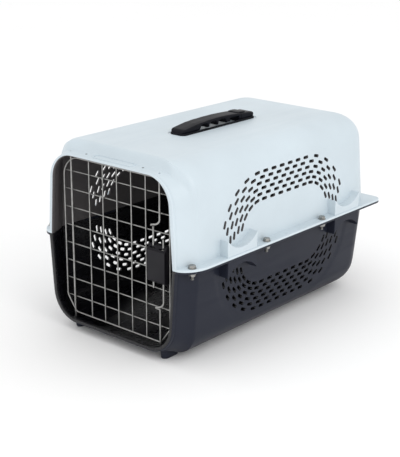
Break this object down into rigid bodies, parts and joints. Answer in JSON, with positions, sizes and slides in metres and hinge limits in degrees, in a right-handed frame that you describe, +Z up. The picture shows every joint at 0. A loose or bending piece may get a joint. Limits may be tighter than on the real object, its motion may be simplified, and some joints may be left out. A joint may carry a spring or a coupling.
{
  "type": "pet transport carrier",
  "caption": "Two-shell plastic pet carrier with a bolted flange, arched side vents, a hinged wire door with a spring latch, and a carry handle.",
  "frame": {"origin": "on the ground, under the centre of the overall box", "axes": "+Z up, +Y from the door towards the rear, +X towards the latch side of the door"},
  "size_m": [0.307, 0.48, 0.306],
  "materials": {
    "lower_shell": "satin moulded polypropylene, charcoal navy",
    "upper_shell": "satin moulded polypropylene, pale grey-blue",
    "door_wire": "bright zinc-plated wire",
    "fasteners": "zinc-plated steel",
    "latch": "satin black moulded plastic",
    "handle": "satin black moulded plastic"
  },
  "bodies": {
    "shells": {"lower_shell": "lower_shell", "upper_shell": "upper_shell", "flange_bolts": "fasteners", "flange_washers": "fasteners", "flange_nuts": "fasteners", "handle_base": "handle", "handle_front_cap": "handle", "handle_rear_cap": "handle", "handle_screws": "fasteners", "handle_washers": "fasteners"},
    "door": {"door_outer_wire": "door_wire", "door_upright_wires": "door_wire", "door_cross_wires": "door_wire", "door_hinge_rod": "door_wire", "latch_housing": "latch", "latch_back_plate": "latch", "latch_screws": "fasteners", "upper_bolt_spring": "fasteners", "lower_bolt_spring": "fasteners"},
    "upper_bolt": {"upper_bolt_rod": "door_wire", "upper_bolt_collar": "fasteners"},
    "lower_bolt": {"lower_bolt_rod": "door_wire", "lower_bolt_collar": "fasteners"},
    "grip": {"handle_grip": "handle"}
  },
  "joints": [
    {"name": "door_hinge", "type": "hinge", "parent": "shells", "child": "door", "pos_m": [-0.0888, -0.2267, 0.15], "axis": [0, 0, -1], "range_deg": [0, 98]},
    {"name": "upper_bolt_slide", "type": "slide", "parent": "door", "child": "upper_bolt", "axis": [0, 0, 1], "range_m": [0, 0.006], "stiffness_N_per_m": 200, "springref_m": 0.012, "deforming": ["upper_bolt_spring"]},
    {"name": "lower_bolt_slide", "type": "slide", "parent": "door", "child": "lower_bolt", "axis": [0, 0, -1], "range_m": [0, 0.006], "stiffness_N_per_m": 200, "springref_m": 0.012, "deforming": ["lower_bolt_spring"]},
    {"name": "handle_lift", "type": "slide", "parent": "shells", "child": "grip", "axis": [0, 0, 1], "range_m": [0, 0.006]}
  ]
}
